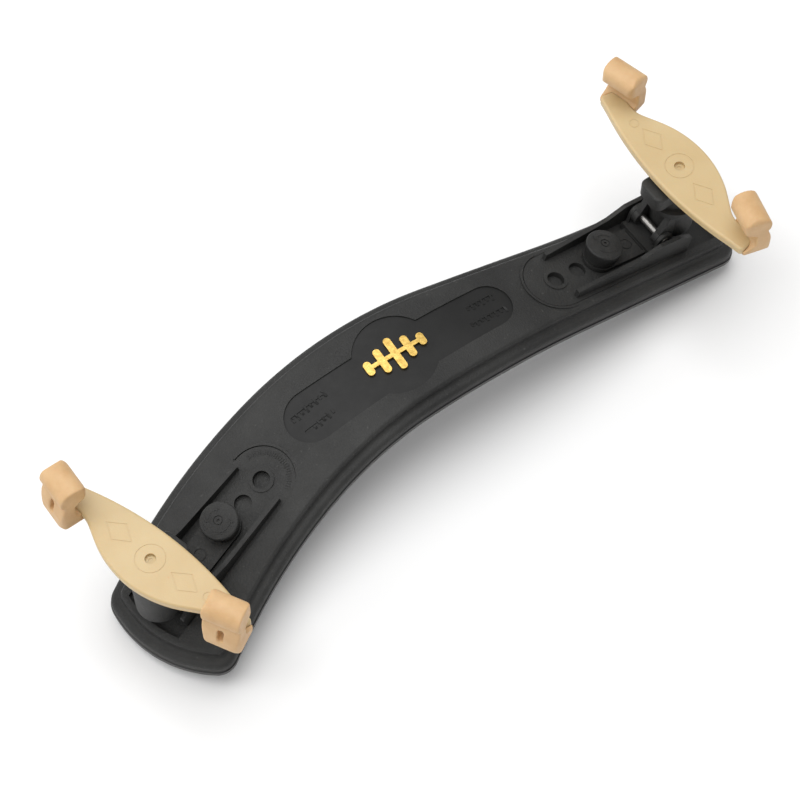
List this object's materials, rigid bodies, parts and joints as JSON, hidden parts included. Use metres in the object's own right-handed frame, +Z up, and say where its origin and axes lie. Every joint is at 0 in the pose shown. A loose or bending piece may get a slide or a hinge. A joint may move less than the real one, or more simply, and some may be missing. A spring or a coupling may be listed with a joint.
{
  "type": "violin shoulder rest",
  "caption": "Arched black shoulder rest with a foam pad, sliding and folding legs, and height-adjustable beige forks whose soft claws grip a violin's edge.",
  "frame": {"origin": "centre of the bounding box, on the table under the foam", "axes": "+X along the arch towards the narrow end, +Y towards its bulging side, +Z up towards the violin"},
  "size_m": [0.2388, 0.0898, 0.0667],
  "materials": {
    "black_plastic": "fine spark texture",
    "flange_plastic": "satin",
    "foam": "closed-cell foam",
    "gilt": "hot-stamped gold",
    "steel": "plated",
    "brass_insert": "turned",
    "beige_plastic": "satin",
    "beige_rubber": "soft matt"
  },
  "bodies": {
    "base": {"body_frame": "black_plastic", "cover_plate": "flange_plastic", "shoulder_pad": "foam", "emblem": "gilt", "track_r": "black_plastic", "track_l": "black_plastic"},
    "slider_r": {"slide_block_r": "black_plastic", "hinge_pin_r": "steel", "knob_insert_r": "brass_insert"},
    "clamp_r": {"knob_r": "black_plastic", "knob_screw_r": "steel"},
    "leg_r": {"swing_bracket_r": "black_plastic", "post_insert_r": "brass_insert"},
    "lift_r": {"fork_washer_r": "steel"},
    "claw_r": {"fork_r": "beige_plastic", "post_screw_r": "steel", "foot_far_r": "beige_rubber", "foot_near_r": "beige_rubber"},
    "slider_l": {"slide_block_l": "black_plastic", "hinge_pin_l": "steel", "knob_insert_l": "brass_insert"},
    "clamp_l": {"knob_l": "black_plastic", "knob_screw_l": "steel"},
    "leg_l": {"swing_bracket_l": "black_plastic", "post_insert_l": "brass_insert"},
    "lift_l": {"fork_washer_l": "steel"},
    "claw_l": {"fork_l": "beige_plastic", "post_screw_l": "steel", "foot_far_l": "beige_rubber", "foot_near_l": "beige_rubber"}
  },
  "joints": [
    {"name": "width_slide_r", "type": "slide", "parent": "base", "child": "slider_r", "axis": [0.9659, 0, -0.2588], "range_m": [-0.018, 0]},
    {"name": "knob_turn_r", "type": "hinge", "parent": "slider_r", "child": "clamp_r", "pos_m": [0.07197, 0.00737, 0.02801], "axis": [0.2588, 0, 0.9659], "range_deg": [0, 180]},
    {"name": "leg_fold_r", "type": "hinge", "parent": "slider_r", "child": "leg_r", "pos_m": [0.09204, 0.00737, 0.02605], "axis": [0, -1, 0], "range_deg": [0, 54]},
    {"name": "fork_raise_r", "type": "slide", "parent": "leg_r", "child": "lift_r", "axis": [0, 0, 1], "range_m": [0, 0.01]},
    {"name": "fork_turn_r", "type": "hinge", "parent": "lift_r", "child": "claw_r", "pos_m": [0.10064, 0.00737, 0.05233], "axis": [0, 0, 1], "range_deg": [0, 3600]},
    {"name": "width_slide_l", "type": "slide", "parent": "base", "child": "slider_l", "axis": [-0.933, -0.25, -0.2588], "range_m": [-0.018, 0]},
    {"name": "knob_turn_l", "type": "hinge", "parent": "slider_l", "child": "clamp_l", "pos_m": [-0.07636, -0.00008, 0.0256], "axis": [-0.25, -0.067, 0.9659], "range_deg": [0, 180]},
    {"name": "leg_fold_l", "type": "hinge", "parent": "slider_l", "child": "leg_l", "pos_m": [-0.09575, -0.00528, 0.02364], "axis": [-0.2588, 0.9659, 0], "range_deg": [0, 54]},
    {"name": "fork_raise_l", "type": "slide", "parent": "leg_l", "child": "lift_l", "axis": [0, 0, 1], "range_m": [0, 0.01]},
    {"name": "fork_turn_l", "type": "hinge", "parent": "lift_l", "child": "claw_l", "pos_m": [-0.10406, -0.00751, 0.04992], "axis": [0, 0, 1], "range_deg": [0, 3600]}
  ],
  "couplings": [
    {"joint": "fork_raise_r", "follows": "fork_turn_r", "m_per_rad": 0.00015915},
    {"joint": "fork_raise_l", "follows": "fork_turn_l", "m_per_rad": 0.00015915}
  ]
}
